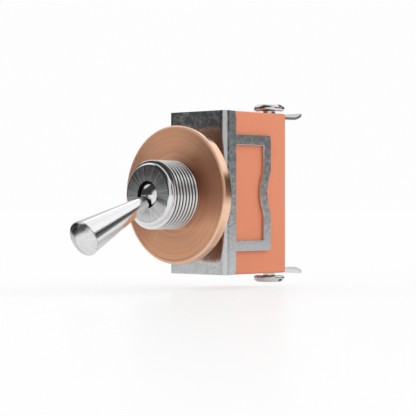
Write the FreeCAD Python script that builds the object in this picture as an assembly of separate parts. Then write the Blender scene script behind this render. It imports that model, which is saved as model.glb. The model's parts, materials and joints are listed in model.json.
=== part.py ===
import FreeCAD, Part
import math
import os

from FreeCAD import Vector

# Panel toggle switch, single pole, with two screw terminals. Millimetres.
# +Z is up, the threaded bush points along -Y, and +X is to the right.
# The origin is on the bush's axis, at the front face of the round seat disc.

# Threaded bush
bush_diameter = 12.0
bush_nose = 6.5
nose_chamfer = 0.7
nose_chamfer_length = 0.85
nose_lip = 0.3
opening_diameter = 4.7
seat_step = 0.3
collar_step = 0.6
spigot_step = 0.7
spigot_wall = 0.7
swage_rim = 0.6
swage_thickness = 0.4

# Round seat disc
disc_diameter = 24.2
disc_thickness = 1.75
disc_edge = 0.12
disc_to_bracket = 3.85

# Bracket of folded sheet
sheet = 0.5
plate_margin = 1.05
bracket_height = 28.75
bracket_rise = 0.4
bend_radius = 0.75
flange_depth = 2.95
flange_corner_fall = 1.6
flange_corner_inset = 0.35
strap_depth = 12.1
strap_height = 20.5
strap_arm = 1.82
strap_bar = 1.86
strap_corner = 0.5
strap_dip = 0.95
strap_dip_length = 8.8
strap_dip_radius = 7.5

# Moulded housing and the liner in front of it
body_depth = 16.8
housing_back_wall = 3.9
housing_side_wall = 1.35
housing_end_wall = 3.35
housing_edge = 0.35
cradle_depth = 2.5
cradle_height = 3.6
liner_thickness = 0.4
liner_margin = 0.2

# Lever
pivot_recess = 2.4
ball_diameter = 5.7
lever_length = 19.1
lever_end_diameter = 6.15
lever_end_edge = 0.35
lever_end_dome = 0.3
neck_diameter = 2.1
lever_angle = 23.3
tail_length = 5.4
tail_ball_diameter = 1.8
tail_neck_diameter = 1.1
tail_root_diameter = 1.8

# Lever pivot pin, and the ring that keeps the ball in its socket
pivot_pin_diameter = 1.0
pivot_pin_length = 7.8
socket_step = 0.6
retainer_thickness = 1.5

# Actuator, its pin, plunger and spring
actuator_pin_diameter = 1.6
actuator_pin_setback = 0.6
hub_diameter = 3.6
hub_length = 5.6
prong_thickness = 0.6
prong_width = 2.4
prong_tip_radius = 0.25
barrel_diameter = 3.8
barrel_length = 5.2
barrel_bore_diameter = 2.3
barrel_floor = 1.5
plunger_reach = 7.55
plunger_tip_diameter = 1.6
plunger_stem_diameter = 1.0
plunger_stem_length = 1.2
guide_front = 3.5
guide_back = 5.0
spring_wire = 0.28
spring_turns = 4

# Rocker contact
strip = 0.45
pivot_spacing = 9.05
rocker_width = 3.0
rocker_angle = 8.0
rocker_ear = 0.4
rocker_ear_radius = 1.1
rocker_pin_diameter = 0.9
pad_inner = 4.7
pad_outer = 7.6
contact_height = 6.2
contact_diameter = 2.4
contact_head = 0.4
contact_shank_diameter = 1.3

# Strip terminals
terminal_margin = 0.4
strip_width = 4.2
strip_inset = 0.53
shoulder_length = 1.2
leg_left = 2.1
leg_end = 9.0
lug_corner = 0.4
lug_flat = 2.5
lug_curl_radius = 4.2
lug_curl_angle = 38.0
lug_hole_diameter = 1.3
lug_hole_setback = 1.5
saddle_ear_radius = 1.25
tongue_end = 2.1

# Terminal screws and their square nuts
screw_diameter = 2.2
screw_length = 4.6
screw_gap = 0.45
head_diameter = 5.6
head_height = 1.2
head_under_edge = 0.2
head_rim = 0.35
head_flat_diameter = 3.8
slot_width = 0.8
slot_depth = 0.55
nut_width = 3.0
nut_thickness = 1.6
nut_setback = 0.25

# Clearances: running fits, slip fits, loose fits and gaps over the travel
running = 0.06
slip = 0.05
loose = 0.2
swing = 0.3

# Radii in use
bush_radius = bush_diameter / 2
seat_radius = bush_radius + seat_step
collar_radius = bush_radius + collar_step
spigot = bush_radius - spigot_step
rear_bore = spigot - spigot_wall
swage = spigot + swage_rim
opening = opening_diameter / 2
ball = ball_diameter / 2
socket = ball + running
tail_ball = tail_ball_diameter / 2
plunger_tip = plunger_tip_diameter / 2
screw_radius = screw_diameter / 2

# Places along the bush's axis, front to back
nose_y = -bush_nose
pivot_y = nose_y + pivot_recess
block_y = pivot_y + socket_step
bracket_y = disc_thickness + disc_to_bracket
plate_back_y = bracket_y + sheet
housing_y = plate_back_y + liner_thickness
actuator_y = housing_y + slip + actuator_pin_diameter / 2
rocker_y = actuator_y + pivot_spacing
housing_back_y = bracket_y + body_depth
cavity_back_y = housing_back_y - housing_back_wall
leg_back_y = cavity_back_y - slip
leg_front_y = leg_back_y - strip

# Half sizes across the body
bracket_half_height = bracket_height / 2
bracket_half_width = swage + plate_margin
housing_half_width = bracket_half_width - sheet - slip
actuator_pin_reach = housing_half_width - actuator_pin_setback
cavity_half_width = housing_half_width - housing_side_wall
cavity_half_height = bracket_half_height - housing_end_wall
strip_out = bracket_half_height - strip_inset
strip_in = strip_out - strip
tongue_half_width = rocker_width / 2 + loose + strip
terminal_x = housing_half_width - terminal_margin - strip_width / 2
terminal_y = housing_back_y - nut_setback - nut_width / 2

# Linkage: the lever's tail turns the actuator, whose plunger tips the rocker
throw = math.radians(lever_angle)
pivot_distance = actuator_y - pivot_y
fork_far = pivot_distance - tail_length * math.cos(throw)
fork_rise = tail_length * math.sin(throw)
fork_near = pivot_distance - tail_length
fork_length = math.hypot(fork_far, fork_rise) + loose
actuator_angle = math.degrees(math.atan2(fork_rise, fork_far))
trough_y = actuator_y + plunger_reach + swing


def box(x0, x1, y0, y1, z0, z1):
    return Part.makeBox(x1 - x0, y1 - y0, z1 - z0, Vector(x0, y0, z0))


def rod_x(radius, half_length, y, z=0.0):
    return Part.makeCylinder(radius, 2 * half_length, Vector(-half_length, y, z), Vector(1, 0, 0))


def rod_y(radius, y0, y1, x=0.0, z=0.0):
    return Part.makeCylinder(radius, y1 - y0, Vector(x, y0, z), Vector(0, 1, 0))


def rod_z(radius, z0, z1, x, y):
    return Part.makeCylinder(radius, z1 - z0, Vector(x, y, z0), Vector(0, 0, 1))


def outline(start, *steps):
    # A closed wire. A step is the end of a straight run, or a pair: a point on an arc and the arc's end.
    edges = []
    here = start
    for step in steps + (start,):
        if isinstance(step, tuple):
            edges.append(Part.Arc(here, step[0], step[1]).toShape())
            here = step[1]
        elif (step - here).Length > 1e-6:
            edges.append(Part.LineSegment(here, step).toShape())
            here = step
    return Part.Wire(edges)


def turned(wire):
    # The wire lies in the plane Z = 0, with the radius as X, and turns about the Y axis.
    return Part.Face(wire).revolve(Vector(0, 0, 0), Vector(0, 1, 0), 360)


def across(wire, x0, x1):
    # The wire lies in a plane of constant X and is drawn out from x0 to x1.
    face = Part.Face(wire)
    face.translate(Vector(x0, 0, 0))
    return face.extrude(Vector(x1 - x0, 0, 0))


def on_circle(centre_y, radius, degrees):
    # A point of a circle about a place on the Y axis, measured from +X towards +Y.
    turn = math.radians(degrees)
    return Vector(radius * math.cos(turn), centre_y + radius * math.sin(turn), 0)


def below(shape):
    # The same piece at the body's lower end.
    return shape.mirror(Vector(0, 0, bracket_rise), Vector(0, 0, 1))


def tilted(shape, y, degrees):
    # Turned about the X axis at the height of the bush's axis.
    copy = shape.copy()
    copy.rotate(Vector(0, y, 0), Vector(1, 0, 0), degrees)
    return copy


def threaded_bush():
    # Thread, seat that carries the disc, collar behind it, and the spigot swaged over the bracket's plate.
    chamfer_start = bush_radius - nose_chamfer
    face_edge = chamfer_start - nose_lip
    lip_y = nose_y + nose_lip
    round_in = nose_lip * math.cos(math.radians(45))
    at_opening = math.degrees(math.acos(opening / socket))
    at_step = math.degrees(math.asin(socket_step / socket))
    lip_mid = Vector(face_edge + round_in, lip_y - round_in, 0)
    swage_back = plate_back_y + swage_thickness
    wire = outline(
        Vector(opening, nose_y, 0),
        Vector(face_edge, nose_y, 0),
        (lip_mid, Vector(chamfer_start, lip_y, 0)),
        Vector(bush_radius, lip_y + nose_chamfer_length, 0),
        Vector(bush_radius, 0, 0),
        Vector(seat_radius, 0, 0),
        Vector(seat_radius, disc_thickness, 0),
        Vector(collar_radius, disc_thickness, 0),
        Vector(collar_radius, bracket_y, 0),
        Vector(spigot, bracket_y, 0),
        Vector(spigot, plate_back_y, 0),
        Vector(swage, plate_back_y, 0),
        Vector(swage, swage_back, 0),
        Vector(rear_bore, swage_back, 0),
        Vector(rear_bore, block_y, 0),
        on_circle(pivot_y, socket, at_step),
        (on_circle(pivot_y, socket, (at_step - at_opening) / 2), on_circle(pivot_y, socket, -at_opening)),
    )
    bush = turned(wire)
    slot = pivot_pin_diameter / 2 + running
    reach = pivot_pin_length / 2 + loose
    bush = bush.cut(rod_x(slot, reach, pivot_y))
    return bush.cut(box(-reach, reach, pivot_y, block_y + slip, -slot, slot))


def ball_retainer():
    front_y = block_y + slip
    back_y = block_y + retainer_thickness
    at_front = math.degrees(math.asin((front_y - pivot_y) / socket))
    at_back = math.degrees(math.asin((back_y - pivot_y) / socket))
    wire = outline(
        Vector(rear_bore, front_y, 0),
        Vector(rear_bore, back_y, 0),
        on_circle(pivot_y, socket, at_back),
        (on_circle(pivot_y, socket, (at_front + at_back) / 2), on_circle(pivot_y, socket, at_front)),
    )
    return turned(wire)


def seat_disc():
    radius = disc_diameter / 2
    wire = outline(
        Vector(seat_radius, 0, 0),
        Vector(radius - disc_edge, 0, 0),
        Vector(radius, disc_edge, 0),
        Vector(radius, disc_thickness - disc_edge, 0),
        Vector(radius - disc_edge, disc_thickness, 0),
        Vector(seat_radius, disc_thickness, 0),
    )
    return turned(wire)


def lever():
    # Drawn level, with the bat towards -Y and the pivot at Y = 0, then tilted down to its rest.
    end = lever_end_diameter / 2
    neck = neck_diameter / 2
    tail_neck = tail_neck_diameter / 2
    tail_root = tail_root_diameter / 2
    flat = end - lever_end_edge
    edge_y = -lever_length + lever_end_edge
    edge_in = lever_end_edge * math.cos(math.radians(45))
    dome_radius = (flat ** 2 + lever_end_dome ** 2) / (2 * lever_end_dome)
    dome_y = -lever_length - lever_end_dome + dome_radius
    dome_half = math.degrees(math.asin(flat / dome_radius)) / 2
    wire = outline(
        Vector(0, tail_length + tail_ball, 0),
        (
            Vector(tail_ball, tail_length, 0),
            Vector(tail_neck, tail_length - math.sqrt(tail_ball ** 2 - tail_neck ** 2), 0),
        ),
        Vector(tail_root, math.sqrt(ball ** 2 - tail_root ** 2), 0),
        (Vector(ball, 0, 0), Vector(neck, -math.sqrt(ball ** 2 - neck ** 2), 0)),
        Vector(end, edge_y, 0),
        (Vector(flat + edge_in, edge_y - edge_in, 0), Vector(flat, -lever_length, 0)),
        (on_circle(dome_y, dome_radius, dome_half - 90), Vector(0, -lever_length - lever_end_dome, 0)),
    )
    bat = turned(wire).cut(rod_x(pivot_pin_diameter / 2, ball, 0))
    bat.translate(Vector(0, pivot_y, 0))
    return tilted(bat, pivot_y, lever_angle)


def lever_pivot_pin():
    return rod_x(pivot_pin_diameter / 2, pivot_pin_length / 2, pivot_y)


def strap_outline():
    # One side of the bracket, seen from the side: the flange, and the strap standing back from it.
    back_y = bracket_y + strap_depth
    flange_y = bracket_y + flange_depth
    top = bracket_half_height
    corner_radius = (flange_corner_fall ** 2 + flange_corner_inset ** 2) / (2 * flange_corner_inset)
    corner_half = math.asin(flange_corner_fall / corner_radius) / 2
    corner_y = flange_y - corner_radius * (1 - math.cos(corner_half))
    corner_z = top - flange_corner_fall + corner_radius * math.sin(corner_half)
    inset_y = flange_y - flange_corner_inset
    flange = Part.Face(outline(
        Vector(0, bracket_y, -top),
        Vector(0, inset_y, -top),
        (Vector(0, corner_y, -corner_z), Vector(0, flange_y, -top + flange_corner_fall)),
        Vector(0, flange_y, top - flange_corner_fall),
        (Vector(0, corner_y, corner_z), Vector(0, inset_y, top)),
        Vector(0, bracket_y, top),
    ))
    outer = dipped_edge(back_y, strap_height / 2, strap_corner)
    inner = dipped_edge(back_y - strap_bar, strap_height / 2 - strap_arm, 0.0)
    side = flange.fuse(outer).cut(inner)
    front = Part.Face(outline(
        Vector(0, bracket_y, -top),
        Vector(0, flange_y - flange_corner_inset, -top),
        Vector(0, flange_y - flange_corner_inset, top),
        Vector(0, bracket_y, top),
    ))
    return side.fuse(front).removeSplitter()


def dipped_edge(back_y, half, corner):
    # A face behind the flange line whose back edge dips forward in the middle by three tangent arcs.
    front_y = bracket_y + flange_depth
    dip_half = strap_dip_length / 2
    radii = (dip_half ** 2 + strap_dip ** 2) / (2 * strap_dip)
    shoulder = radii - strap_dip_radius
    lean = math.asin(dip_half / radii)
    low = back_y - strap_dip
    join_y = low + strap_dip_radius * (1 - math.cos(lean))
    join_z = strap_dip_radius * math.sin(lean)
    mid_y = back_y - shoulder * (1 - math.cos(lean / 2))
    mid_z = dip_half - shoulder * math.sin(lean / 2)
    steps = [Vector(0, back_y - corner, -half)]
    if corner > 0:
        cut = corner * (1 - math.cos(math.radians(45)))
        steps.append((Vector(0, back_y - cut, -half + cut), Vector(0, back_y, -half + corner)))
    steps.append(Vector(0, back_y, -dip_half))
    steps.append((Vector(0, mid_y, -mid_z), Vector(0, join_y, -join_z)))
    steps.append((Vector(0, low, 0), Vector(0, join_y, join_z)))
    steps.append((Vector(0, mid_y, mid_z), Vector(0, back_y, dip_half)))
    steps.append(Vector(0, back_y, half - corner))
    if corner > 0:
        steps.append((Vector(0, back_y - cut, half - cut), Vector(0, back_y - corner, half)))
    steps.append(Vector(0, front_y, half))
    return Part.Face(outline(Vector(0, front_y, -half), *steps))


def channel(half_width, front_y, radius, height):
    # A bar along Z whose two front edges are rounded, as the outside or inside of the folded sheet.
    back_y = bracket_y + strap_depth + sheet
    bar = box(-half_width, half_width, front_y, back_y, -height, height)
    front_edges = []
    for edge in bar.Edges:
        middle = edge.CenterOfMass
        if abs(middle.z) < 1e-6 and middle.y < front_y + 1e-6 and abs(middle.x) > 1e-6:
            front_edges.append(edge)
    return bar.makeFillet(radius, front_edges)


def frame_bracket():
    top = bracket_half_height
    inner_half_width = bracket_half_width - sheet
    folded = channel(bracket_half_width, bracket_y, bend_radius, top)
    folded = folded.cut(channel(inner_half_width, plate_back_y, bend_radius - sheet, top + sheet))
    side = strap_outline()
    side.translate(Vector(-bracket_half_width, 0, 0))
    folded = folded.common(side.extrude(Vector(2 * bracket_half_width, 0, 0)))
    folded.translate(Vector(0, 0, bracket_rise))
    return folded.cut(rod_y(spigot + slip, bracket_y - slip, plate_back_y + slip))


def insulating_liner():
    # A flat sheet between the bends of the bracket, holed for the bush's swaged rim.
    half_width = bracket_half_width - bend_radius
    half_height = bracket_half_height - liner_margin
    low = bracket_rise - half_height
    high = bracket_rise + half_height
    liner = box(-half_width, half_width, plate_back_y, housing_y, low, high)
    return liner.cut(rod_y(swage + slip, plate_back_y - slip, housing_y + slip))


def strip_plan(margin, back_y):
    # The strip seen from above: a wide part over the leg's slot, and the narrower strip behind it.
    right = terminal_x + strip_width / 2 + margin
    left = terminal_x - strip_width / 2 - margin
    shoulder_y = leg_front_y + shoulder_length + margin
    return outline(
        Vector(-leg_left - margin, leg_front_y - margin, 0),
        Vector(right, leg_front_y - margin, 0),
        Vector(right, back_y, 0),
        Vector(left, back_y, 0),
        Vector(left, shoulder_y, 0),
        Vector(-leg_left - margin, shoulder_y, 0),
    )


def terminal_recess():
    # The room in the housing's upper end for one strip, its leg, its nut and its screw.
    plan = Part.Face(strip_plan(slip, housing_back_y + slip))
    plan.translate(Vector(0, 0, bracket_rise + strip_in))
    recess = plan.extrude(Vector(0, 0, bracket_half_height - strip_in + slip))
    leg_right = cavity_half_width - slip
    leg = box(
        -leg_left - slip, leg_right + slip, leg_front_y - slip, cavity_back_y,
        bracket_rise + cavity_half_height - slip, bracket_rise + strip_in + slip,
    )
    nut_half = nut_width / 2 + slip
    nut = box(
        terminal_x - nut_half, terminal_x + nut_half, terminal_y - nut_half, housing_back_y + slip,
        bracket_rise + strip_in - nut_thickness - slip, bracket_rise + strip_in + slip,
    )
    tip = bracket_rise + bracket_half_height + screw_gap - screw_length - loose
    hole = rod_z(screw_radius + loose, tip, bracket_rise + strip_in, terminal_x, terminal_y)
    return recess.fuse([leg, nut, hole])


def housing():
    low = bracket_rise - bracket_half_height
    high = bracket_rise + bracket_half_height
    block = box(-housing_half_width, housing_half_width, housing_y, housing_back_y, low, high)
    edges = [edge for edge in block.Edges if edge.CenterOfMass.y > housing_y + slip]
    block = block.makeFillet(housing_edge, edges)
    block = block.cut(box(
        -cavity_half_width, cavity_half_width, housing_y - slip, cavity_back_y,
        bracket_rise - cavity_half_height, bracket_rise + cavity_half_height,
    ))
    for side in (-1, 1):
        inner = side * (hub_length / 2 + loose)
        outer = side * (cavity_half_width + slip)
        block = block.fuse(box(
            min(inner, outer), max(inner, outer), housing_y, housing_y + cradle_depth,
            -cradle_height / 2, cradle_height / 2,
        ))
    notch = actuator_pin_diameter / 2 + running
    reach = actuator_pin_reach + slip
    block = block.cut(rod_x(notch, reach, actuator_y))
    block = block.cut(box(-reach, reach, housing_y - slip, actuator_y, -notch, notch))
    recess = terminal_recess()
    return block.cut(recess).cut(below(recess)).removeSplitter()


def actuator():
    # Drawn level about its pin, then tilted to its rest.
    slot = tail_ball + loose
    half_fork = slot + prong_thickness
    slot_end = fork_near - tail_ball - loose
    arm = box(-prong_width / 2, prong_width / 2, actuator_y - fork_length, actuator_y, -half_fork, half_fork)
    gap = box(
        -prong_width, prong_width, actuator_y - fork_length - slip, actuator_y - slot_end - slot, -slot, slot,
    )
    gap = gap.fuse(rod_x(slot, prong_width, actuator_y - slot_end - slot))
    arm = arm.cut(gap)
    tips = [e for e in arm.Edges if is_prong_tip(e, actuator_y - fork_length)]
    arm = arm.makeFillet(prong_tip_radius, tips)
    body = arm.fuse([
        rod_x(hub_diameter / 2, hub_length / 2, actuator_y),
        rod_y(barrel_diameter / 2, actuator_y, actuator_y + barrel_length),
    ])
    body = body.cut(rod_x(actuator_pin_diameter / 2 + running, hub_length, actuator_y))
    bore_y = actuator_y + barrel_floor
    body = body.cut(rod_y(barrel_bore_diameter / 2, bore_y, actuator_y + barrel_length + slip))
    return tilted(body.removeSplitter(), actuator_y, -actuator_angle)


def is_prong_tip(edge, tip_y):
    middle = edge.CenterOfMass
    return abs(middle.y - tip_y) < 1e-6 and abs(middle.x) < 1e-6


def actuator_pin():
    return rod_x(actuator_pin_diameter / 2, actuator_pin_reach, actuator_y)


def plunger():
    tip_y = actuator_y + plunger_reach - plunger_tip
    guide_y = actuator_y + guide_front
    guide_end_y = actuator_y + guide_back
    stem_y = guide_y - plunger_stem_length
    guide = barrel_bore_diameter / 2 - running
    wire = outline(
        Vector(0, stem_y, 0),
        Vector(plunger_stem_diameter / 2, stem_y, 0),
        Vector(plunger_stem_diameter / 2, guide_y, 0),
        Vector(guide, guide_y, 0),
        Vector(guide, guide_end_y, 0),
        Vector(plunger_tip, guide_end_y, 0),
        Vector(plunger_tip, tip_y, 0),
        (on_circle(tip_y, plunger_tip, 45), Vector(0, tip_y + plunger_tip, 0)),
    )
    return tilted(turned(wire), actuator_y, -actuator_angle)


def plunger_spring():
    wire = spring_wire / 2
    start_y = actuator_y + barrel_floor + slip + wire
    length = guide_front - barrel_floor - 2 * slip - spring_wire
    radius = barrel_bore_diameter / 2 - running - wire
    helix = Part.makeHelix(length / spring_turns, length, radius)
    section = Part.Wire(Part.makeCircle(wire, Vector(radius, 0, 0), Vector(0, 1, 0)))
    coil = Part.Wire(helix).makePipeShell([section], True, True)
    coil.rotate(Vector(0, 0, 0), Vector(1, 0, 0), -90)
    coil.translate(Vector(0, start_y, 0))
    return tilted(coil, actuator_y, -actuator_angle)


def trough_radius():
    # The hollow in the rocker follows the plunger's tip through the whole throw, at an even gap.
    swing_angle = math.radians(actuator_angle)
    lean = math.radians(rocker_angle)
    centre = plunger_reach - plunger_tip
    ahead = pivot_spacing - centre * math.cos(swing_angle)
    aside = centre * math.sin(swing_angle)
    forward = ahead * math.cos(lean) + aside * math.sin(lean)
    down = aside * math.cos(lean) - ahead * math.sin(lean)
    rise = forward - (pivot_spacing - centre)
    path_radius = (down ** 2 + rise ** 2) / (2 * rise)
    return path_radius + plunger_tip + swing, down + plunger_tip + swing


def closed_plane_y():
    # The back of the rocker's pad when its contact stands square to the fixed one.
    return leg_front_y - contact_head - swing - contact_head


def pad_point(y, z):
    # A point of the closed pad, turned back to the rocker's level place.
    lean = math.radians(rocker_angle)
    dy = y - rocker_y
    level_y = rocker_y + dy * math.cos(lean) - z * math.sin(lean)
    return Vector(0, level_y, dy * math.sin(lean) + z * math.cos(lean))


def mirrored(point):
    return Vector(point.x, point.y, -point.z)


def rocker_contact():
    radius, shoulder = trough_radius()
    shoulder_y = trough_y - radius + math.sqrt(radius ** 2 - shoulder ** 2)
    pad_y = closed_plane_y() - strip
    back = Vector(0, strip, 0)
    tip = pad_point(pad_y, pad_outer)
    root = pad_point(pad_y, pad_inner)
    crest = Vector(0, shoulder_y, shoulder)
    hollow = Vector(0, trough_y, 0)
    blade = across(outline(
        tip,
        root,
        crest,
        (hollow, mirrored(crest)),
        mirrored(root),
        mirrored(tip),
        mirrored(tip) + back,
        mirrored(root) + back,
        mirrored(crest) + back,
        (hollow + back, crest + back),
        root + back,
        tip + back,
    ), -rocker_width / 2, rocker_width / 2)
    for side in (-1, 1):
        ear_in = side * (rocker_width / 2 - rocker_ear)
        ear_out = side * rocker_width / 2
        ear = rod_x(rocker_ear_radius, rocker_width / 2, rocker_y)
        ear = ear.fuse(box(
            -rocker_width / 2, rocker_width / 2, trough_y + strip / 2, rocker_y,
            -rocker_ear_radius, rocker_ear_radius,
        ))
        reach = rocker_ear_radius + strip
        low = min(ear_in, ear_out)
        high = max(ear_in, ear_out)
        blade = blade.fuse(ear.common(box(low, high, trough_y, rocker_y + reach, -reach, reach)))
    blade = blade.cut(rod_x(rocker_pin_diameter / 2 + running, rocker_width, rocker_y))
    blade = blade.cut(moving_shank())
    return tilted(blade.removeSplitter(), rocker_y, rocker_angle)


def moving_shank():
    # The rivet's shank through the closed pad, turned back to the rocker's level place.
    back_y = closed_plane_y()
    shank = rod_y(contact_shank_diameter / 2, back_y - strip - contact_head, back_y, z=contact_height)
    return tilted(shank, rocker_y, rocker_angle)


def moving_contact():
    back_y = closed_plane_y()
    head = rod_y(contact_diameter / 2, back_y, back_y + contact_head, z=contact_height)
    shank = rod_y(contact_shank_diameter / 2, back_y - strip, back_y, z=contact_height)
    return tilted(head.fuse(shank).removeSplitter(), rocker_y, 2 * rocker_angle)


def fixed_contact():
    head = rod_y(contact_diameter / 2, leg_front_y - contact_head, leg_front_y, z=contact_height)
    shank = rod_y(contact_shank_diameter / 2, leg_front_y, leg_back_y, z=contact_height)
    return head.fuse(shank).removeSplitter()


def rocker_pin():
    return rod_x(rocker_pin_diameter / 2, tongue_half_width, rocker_y)


def lug_outline():
    # The strip's section behind the leg: level to the curl, then bent outwards along an arc.
    start_y = housing_back_y + lug_flat
    inner = lug_curl_radius - strip
    centre_z = strip_in + lug_curl_radius
    full = math.radians(lug_curl_angle)

    def bent(radius, turn):
        return Vector(0, start_y + radius * math.sin(turn), centre_z - radius * math.cos(turn))

    wire = outline(
        Vector(0, leg_front_y, strip_in),
        Vector(0, start_y, strip_in),
        (bent(lug_curl_radius, full / 2), bent(lug_curl_radius, full)),
        bent(inner, full),
        (bent(inner, full / 2), Vector(0, start_y, strip_out)),
        Vector(0, leg_front_y, strip_out),
    )
    return wire, bent(lug_curl_radius, full).y


def strip_terminal(leg_tip):
    # One terminal at the upper end, with its leg reaching down into the housing to leg_tip.
    wire, tip_y = lug_outline()
    right = terminal_x + strip_width / 2
    section = across(wire, -leg_left, right)
    section.translate(Vector(0, 0, bracket_rise))
    plan = Part.Face(strip_plan(0.0, tip_y)).extrude(Vector(0, 0, bracket_height))
    corners = []
    for edge in plan.Edges:
        middle = edge.CenterOfMass
        if middle.y > tip_y - slip and abs(middle.z - bracket_half_height) < 1e-6:
            corners.append(edge)
    plan = plan.makeFillet(lug_corner, corners)
    strip_piece = section.common(plan)
    leg_right = cavity_half_width - slip
    outer_z = bracket_rise + strip_out
    leg = box(-leg_left, leg_right, leg_front_y, leg_back_y, leg_end, outer_z)
    tongue = box(-tongue_half_width, tongue_half_width, leg_front_y, leg_back_y, leg_tip, leg_end)
    piece = strip_piece.fuse([leg, tongue])
    piece = piece.cut(rod_z(screw_radius + loose, strip_in, bracket_height, terminal_x, terminal_y))
    hole_y = housing_back_y + lug_hole_setback
    piece = piece.cut(rod_z(lug_hole_diameter / 2, strip_in, bracket_height, terminal_x, hole_y))
    return piece


def line_terminal():
    piece = strip_terminal(contact_height - tongue_end)
    shank = rod_y(contact_shank_diameter / 2, leg_front_y, leg_back_y, z=contact_height)
    return piece.cut(shank).removeSplitter()


def common_terminal():
    # The lower strip's leg rises to a saddle whose two ears carry the rocker's pin.
    piece = below(strip_terminal(2 * bracket_rise - tongue_end))
    for side in (-1, 1):
        inner = side * (tongue_half_width - strip)
        outer = side * tongue_half_width
        low = min(inner, outer)
        high = max(inner, outer)
        ear = rod_x(saddle_ear_radius, tongue_half_width, rocker_y)
        ear = ear.fuse(box(
            -tongue_half_width, tongue_half_width, rocker_y, leg_front_y,
            -saddle_ear_radius, saddle_ear_radius,
        ))
        room = box(low, high, rocker_y - 2 * saddle_ear_radius, leg_front_y, -bracket_height, bracket_height)
        piece = piece.fuse(ear.common(room))
    return piece.cut(rod_x(rocker_pin_diameter / 2, tongue_half_width, rocker_y)).removeSplitter()


def terminal_screw():
    # Drawn about the Y axis with the head's underside at Y = 0, then stood upright in the terminal.
    head = head_diameter / 2
    under_in = head_under_edge * (1 - math.cos(math.radians(45)))
    rim_y = head_under_edge + head_rim
    crown = head_height - rim_y
    flat = head_flat_diameter / 2
    slope = head - flat
    half = math.radians(45)
    wire = outline(
        Vector(0, -screw_length, 0),
        Vector(screw_radius, -screw_length, 0),
        Vector(screw_radius, 0, 0),
        Vector(head - head_under_edge, 0, 0),
        (Vector(head - under_in, under_in, 0), Vector(head, head_under_edge, 0)),
        Vector(head, rim_y, 0),
        (
            Vector(flat + slope * math.cos(half), rim_y + crown * math.sin(half), 0),
            Vector(flat, head_height, 0),
        ),
        Vector(0, head_height, 0),
    )
    screw = turned(wire)
    slot = box(
        -head, head, head_height - slot_depth, head_height + slip, -slot_width / 2, slot_width / 2,
    )
    screw = screw.cut(slot)
    screw.rotate(Vector(0, 0, 0), Vector(1, 0, 0), 90)
    screw.translate(Vector(terminal_x, terminal_y, bracket_rise + bracket_half_height + screw_gap))
    return screw


def terminal_nut():
    half = nut_width / 2
    top = bracket_rise + strip_in
    low = top - nut_thickness
    nut = box(terminal_x - half, terminal_x + half, terminal_y - half, terminal_y + half, low, top)
    return nut.cut(rod_z(screw_radius, low, top, terminal_x, terminal_y))


def main():
    pieces = {
        "frame_bracket": frame_bracket(),
        "threaded_bush": threaded_bush(),
        "seat_disc": seat_disc(),
        "ball_retainer": ball_retainer(),
        "lever": lever(),
        "lever_pivot_pin": lever_pivot_pin(),
        "insulating_liner": insulating_liner(),
        "housing": housing(),
        "actuator": actuator(),
        "actuator_pin": actuator_pin(),
        "plunger": plunger(),
        "plunger_spring": plunger_spring(),
        "rocker_contact": rocker_contact(),
        "rocker_pin": rocker_pin(),
        "moving_contact": moving_contact(),
        "fixed_contact": fixed_contact(),
        "line_terminal": line_terminal(),
        "common_terminal": common_terminal(),
        "line_screw": terminal_screw(),
        "common_screw": below(terminal_screw()),
        "line_nut": terminal_nut(),
        "common_nut": below(terminal_nut()),
    }
    os.makedirs("parts", exist_ok=True)
    for node, shape in pieces.items():
        shape.exportStep("parts/" + node + ".step")
        print(node, len(shape.Solids), round(shape.Volume, 2), shape.isValid())
    print("lever turns", 2 * lever_angle, "actuator turns", round(2 * actuator_angle, 3))


main()
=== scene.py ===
# %% [markdown]
# # Panel toggle switch: dressing the CAD frame
#
# The switch is packed as exact solids: every piece already has its size, its place and its motion.
# This lesson adds what the eye needs: a cut thread, softened sheet edges, turned and brushed metal, mottled
# zinc, a moulded grain, and a small photo studio. Lengths are metres, in the same frame as the solids.
# +Z is up, the bush points along -Y, and the screw terminals sit towards +X.

# %% Load the frame
import json
from math import acos, asin, cos, degrees, hypot, pi, radians, sin

import bmesh
import bpy
from mathutils import Matrix, Vector

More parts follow.
